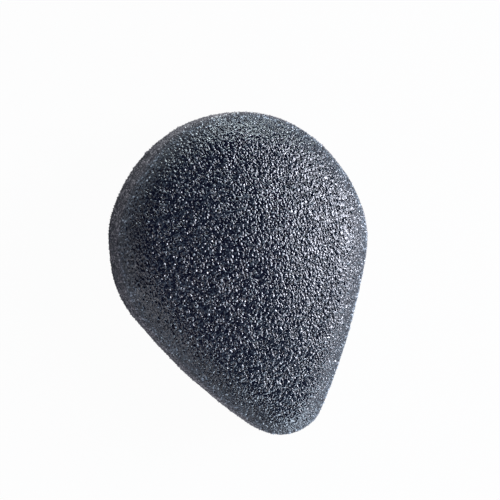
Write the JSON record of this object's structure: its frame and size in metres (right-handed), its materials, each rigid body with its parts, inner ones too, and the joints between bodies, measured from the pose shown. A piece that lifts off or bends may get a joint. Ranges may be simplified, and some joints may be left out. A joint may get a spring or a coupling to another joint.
{
  "type": "konjac sponge",
  "caption": "Teardrop pad of open-celled foam with a crowned washing face, rounded shoulders and a flat back",
  "frame": {"origin": "the centre of the plan box, on the flat back that the sponge lies on", "axes": "X runs across the round end, +Y points from the small end to the round end along the long axis, +Z points from the flat back to the crowned face"},
  "size_m": [0.065, 0.084, 0.032],
  "materials": {
    "charcoal_foam": "damp open-celled foam, dark blue-grey"
  },
  "bodies": {
    "root": {"sponge_body": "charcoal_foam"}
  },
  "joints": []
}
